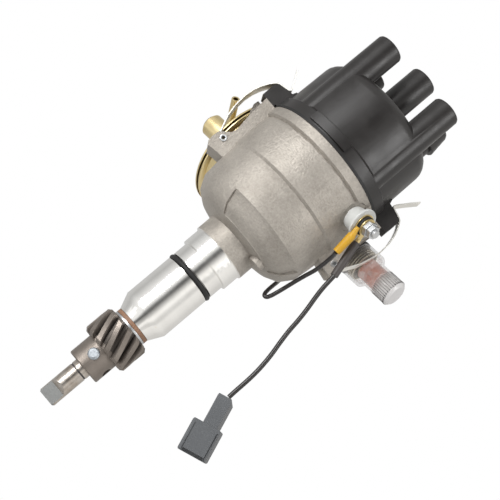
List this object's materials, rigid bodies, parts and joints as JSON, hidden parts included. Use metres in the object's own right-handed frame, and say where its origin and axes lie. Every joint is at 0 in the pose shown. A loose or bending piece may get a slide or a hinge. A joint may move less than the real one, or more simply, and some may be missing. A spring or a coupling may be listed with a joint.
{
  "type": "ignition distributor",
  "caption": "Breaker-point ignition distributor: cast bowl on a long spigot, black cap with five towers, helical drive gear, vacuum can, clips and a lead with a plug.",
  "frame": {"origin": "on the drive shaft's axis, at the lower face of the machined collar that seats on the engine", "axes": "+Z along the shaft towards the cap; the two cap clips lie on the X axis; the terminal and the primary lead stand on the -Y side"},
  "size_m": [0.1396, 0.1214, 0.2425],
  "materials": {
    "cast": "as cast, bead blasted",
    "turned": "turned",
    "bronze": "sintered",
    "rubber": "matte",
    "steel": "ground",
    "gear": "machined, oiled",
    "zinc": "zinc plated",
    "fibre": "pressed fibre",
    "black_plastic": "moulded, satin",
    "brass": "bright",
    "white_plastic": "moulded nylon",
    "yellow": "soft sleeve",
    "grey_plastic": "moulded",
    "gold": "yellow chromate",
    "clear": "clear moulding",
    "red": "sealing wax",
    "spring": "passivated spring steel",
    "condenser": "drawn"
  },
  "bodies": {
    "base": {"housing": "cast", "upper_bush": "bronze", "lower_bush": "bronze", "sealing_ring": "rubber", "stationary_plate": "zinc", "plate_screws": "zinc", "terminal_insulator": "white_plastic", "terminal_bolt": "zinc", "terminal_nuts": "zinc", "terminal_washer": "rubber", "lead_tags": "brass", "condenser": "condenser", "condenser_strap": "zinc", "condenser_screw": "zinc", "condenser_lead": "rubber", "yellow_sleeve": "yellow", "primary_lead": "rubber", "shrink_sleeve": "rubber", "connector": "grey_plastic", "connector_blade": "brass", "octane_seal": "rubber", "clip_pins": "zinc", "cap": "black_plastic", "cap_electrodes": "brass", "brush_spring": "spring", "cap_seal": "rubber"},
    "shaft": {"shaft": "steel", "drive_gear": "gear", "gear_pin": "zinc", "steel_washers": "zinc", "fibre_washer": "fibre", "governor_plate": "steel", "weight_springs": "spring"},
    "cam_rotor": {"cam": "steel", "cam_screw": "zinc", "rotor": "black_plastic", "rotor_blade": "brass"},
    "weight_a": {"weight_a": "steel"},
    "weight_b": {"weight_b": "steel"},
    "vacuum_rod": {"diaphragm": "rubber", "vacuum_rod": "zinc"},
    "breaker": {"breaker_plate": "zinc", "fixed_contact": "steel", "arm_spring": "spring"},
    "arm": {"contact_arm": "brass"},
    "vacuum_unit": {"can_inner": "gold", "can_outer": "gold", "vacuum_nipple": "gold", "diaphragm_spring": "spring", "vacuum_tube": "gold"},
    "selector": {"octane_screw": "gold", "octane_cap": "clear", "octane_insert": "red"},
    "brush": {"centre_brush": "rubber"},
    "clip_left": {"clip_left": "spring"},
    "clip_right": {"clip_right": "spring"}
  },
  "joints": [
    {"name": "shaft_spin", "type": "hinge", "parent": "base", "child": "shaft", "pos_m": [0, 0, 0], "axis": [0, 0, 1], "continuous": true},
    {"name": "cam_advance", "type": "hinge", "parent": "shaft", "child": "cam_rotor", "pos_m": [0, 0, 0], "axis": [0, 0, 1], "range_deg": [0, 11.85], "stiffness_Nm_per_rad": 0.05, "deforming": ["weight_springs"]},
    {"name": "weight_a_swing", "type": "hinge", "parent": "shaft", "child": "weight_a", "pos_m": [0.02, 0, 0], "axis": [0, 0, -1], "range_deg": [0, 15.1]},
    {"name": "weight_b_swing", "type": "hinge", "parent": "shaft", "child": "weight_b", "pos_m": [-0.02, 0, 0], "axis": [0, 0, -1], "range_deg": [0, 15.1]},
    {"name": "vacuum_pull", "type": "slide", "parent": "base", "child": "vacuum_rod", "axis": [-0.9239, 0.3827, 0], "range_m": [0, 0.004], "stiffness_N_per_m": 600, "deforming": ["diaphragm_spring"]},
    {"name": "breaker_turn", "type": "hinge", "parent": "base", "child": "breaker", "pos_m": [0, 0, 0], "axis": [0, 0, 1], "range_deg": [0, 10.45]},
    {"name": "arm_open", "type": "hinge", "parent": "breaker", "child": "arm", "pos_m": [-0.013, -0.015, 0.066], "axis": [0, 0, -1], "range_deg": [0, 6], "stiffness_Nm_per_rad": 0.08, "springref_deg": -2.86},
    {"name": "selector_turn", "type": "hinge", "parent": "base", "child": "selector", "pos_m": [0.05035, 0.01703, 0.0635], "axis": [0.9239, -0.3827, 0], "range_deg": [-360, 360]},
    {"name": "unit_shift", "type": "slide", "parent": "base", "child": "vacuum_unit", "axis": [0.9239, -0.3827, 0], "range_m": [-0.00125, 0.00125]},
    {"name": "brush_press", "type": "slide", "parent": "base", "child": "brush", "axis": [0, 0, 1], "range_m": [0, 0.002], "stiffness_N_per_m": 150, "springref_m": -0.002, "deforming": ["brush_spring"]},
    {"name": "clip_right_open", "type": "hinge", "parent": "base", "child": "clip_right", "pos_m": [0.0404, 0, 0.0469], "axis": [0, 1, 0], "range_deg": [0, 18]},
    {"name": "clip_left_open", "type": "hinge", "parent": "base", "child": "clip_left", "pos_m": [-0.0404, 0, 0.0469], "axis": [0, -1, 0], "range_deg": [0, 40]}
  ],
  "couplings": [
    {"joint": "weight_a_swing", "follows": "cam_advance", "ratio": 1.266},
    {"joint": "weight_b_swing", "follows": "cam_advance", "ratio": 1.266},
    {"joint": "breaker_turn", "follows": "vacuum_pull", "rad_per_m": 45.52},
    {"joint": "selector_turn", "follows": "unit_shift", "rad_per_m": 5026}
  ]
}
